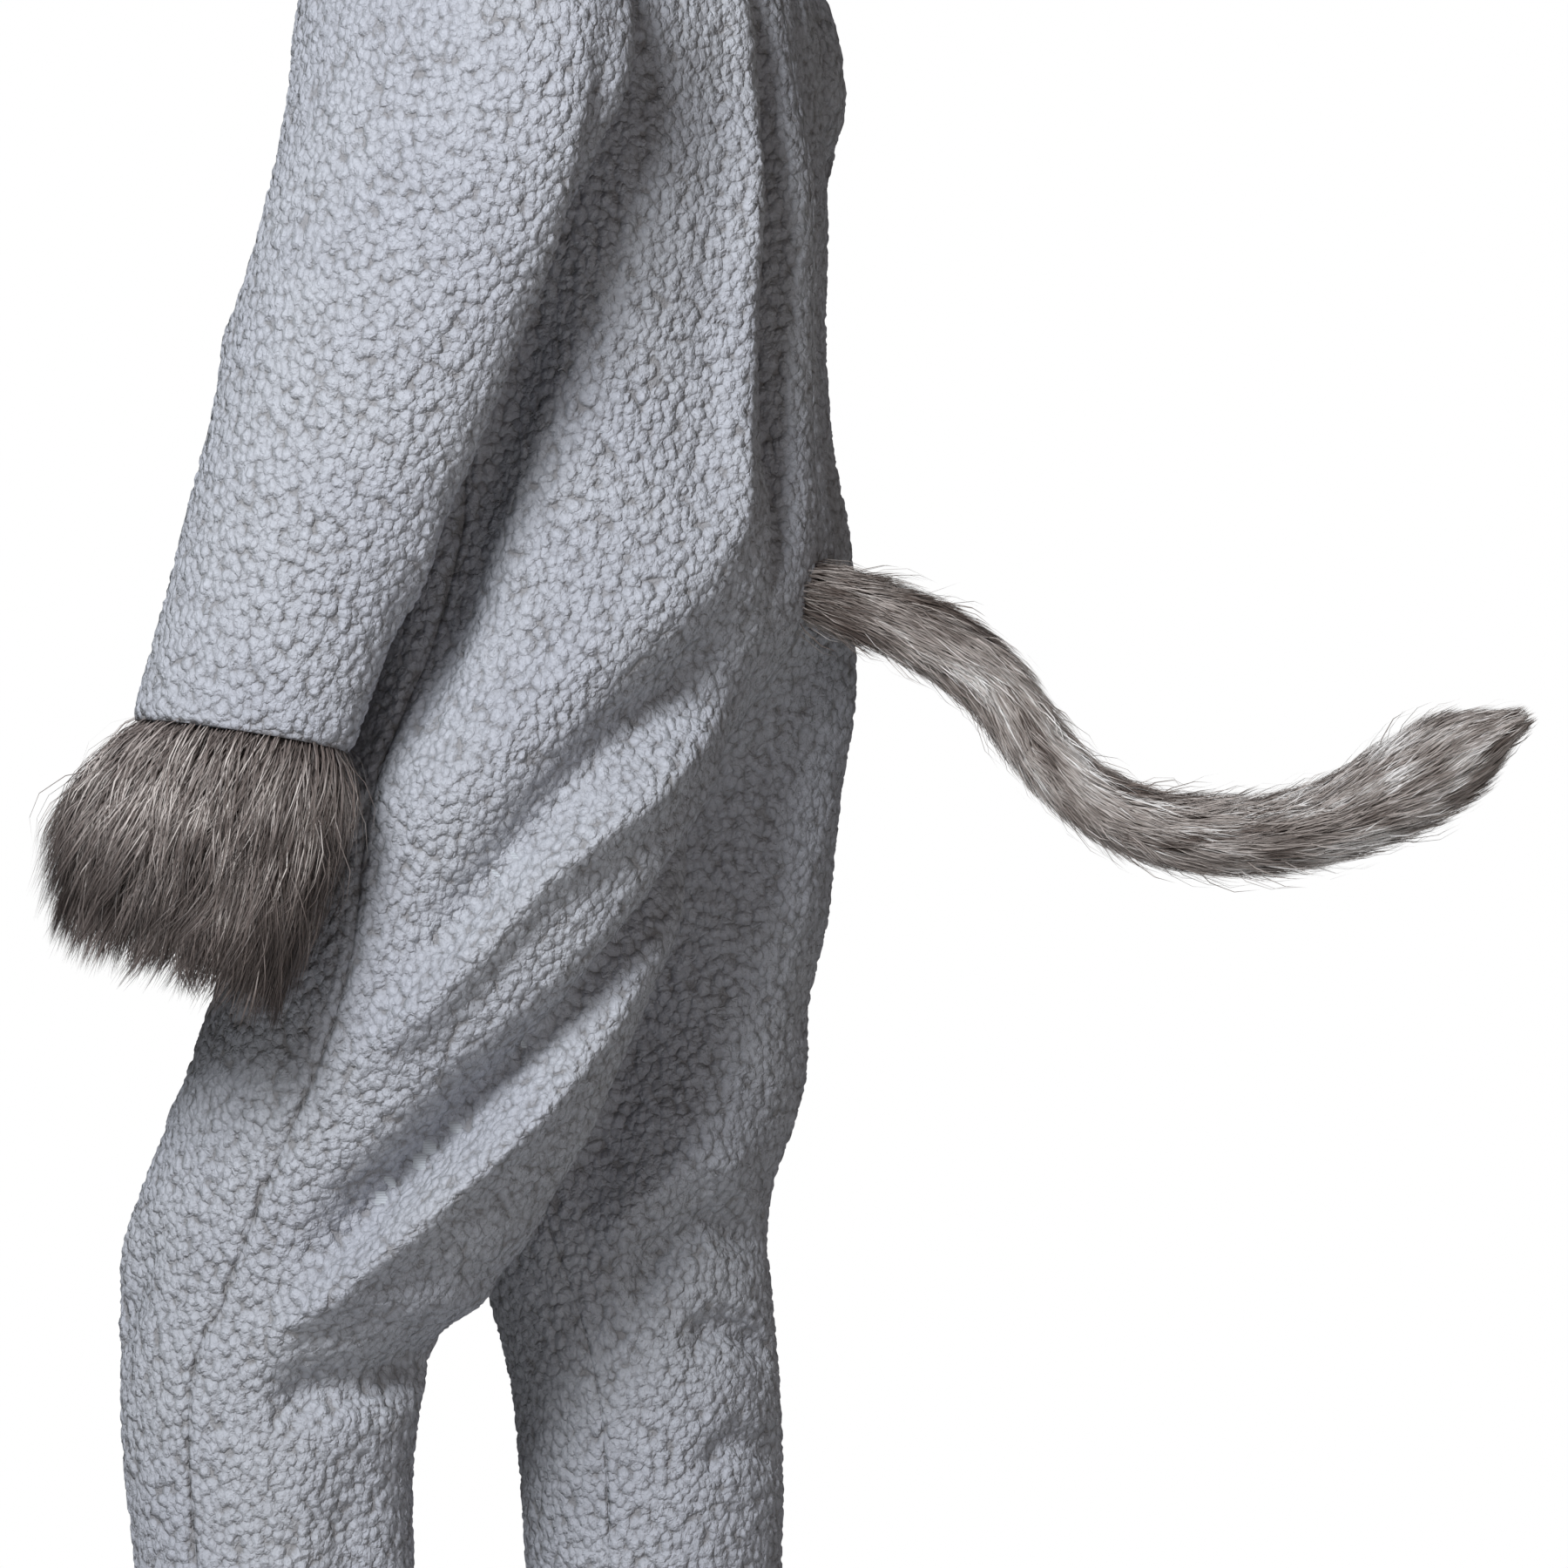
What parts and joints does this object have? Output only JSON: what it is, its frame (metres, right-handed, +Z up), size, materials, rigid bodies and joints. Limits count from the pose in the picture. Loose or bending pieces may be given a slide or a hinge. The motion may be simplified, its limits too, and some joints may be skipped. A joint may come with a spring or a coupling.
{
  "type": "wolf costume",
  "caption": "Child's one-piece plush wolf suit in its worn pose, with front zip, long-pile fur cuffs and a curved fur tail.",
  "frame": {"origin": "middle of the neck opening, level with the two shoulder seams' neck ends", "axes": "+Z up, the wearer faces -Y, the wearer's left is +X"},
  "size_m": [0.5217, 0.6906, 1.1089],
  "materials": {
    "sherpa": "curly sherpa pile",
    "cuff_fur": "long brown-grey faux fur",
    "tail_fur": "short silver-grey faux fur",
    "tape": "woven tape",
    "metal": "nickel plated"
  },
  "bodies": {
    "costume": {"front_left": "sherpa", "back_left": "sherpa", "sleeve_left": "sherpa", "fur_cuff_left": "cuff_fur", "front_right": "sherpa", "back_right": "sherpa", "sleeve_right": "sherpa", "fur_cuff_right": "cuff_fur", "tail": "tail_fur", "zip_tape_left": "tape", "zip_tape_right": "tape", "zip_slider": "metal"},
    "pull": {"zip_pull": "metal"}
  },
  "joints": [
    {"name": "zip_pull_swing", "type": "hinge", "parent": "costume", "child": "pull", "pos_m": [0, -0.06954, -0.07212], "axis": [-1, 0, 0], "range_deg": [0, 165]}
  ]
}
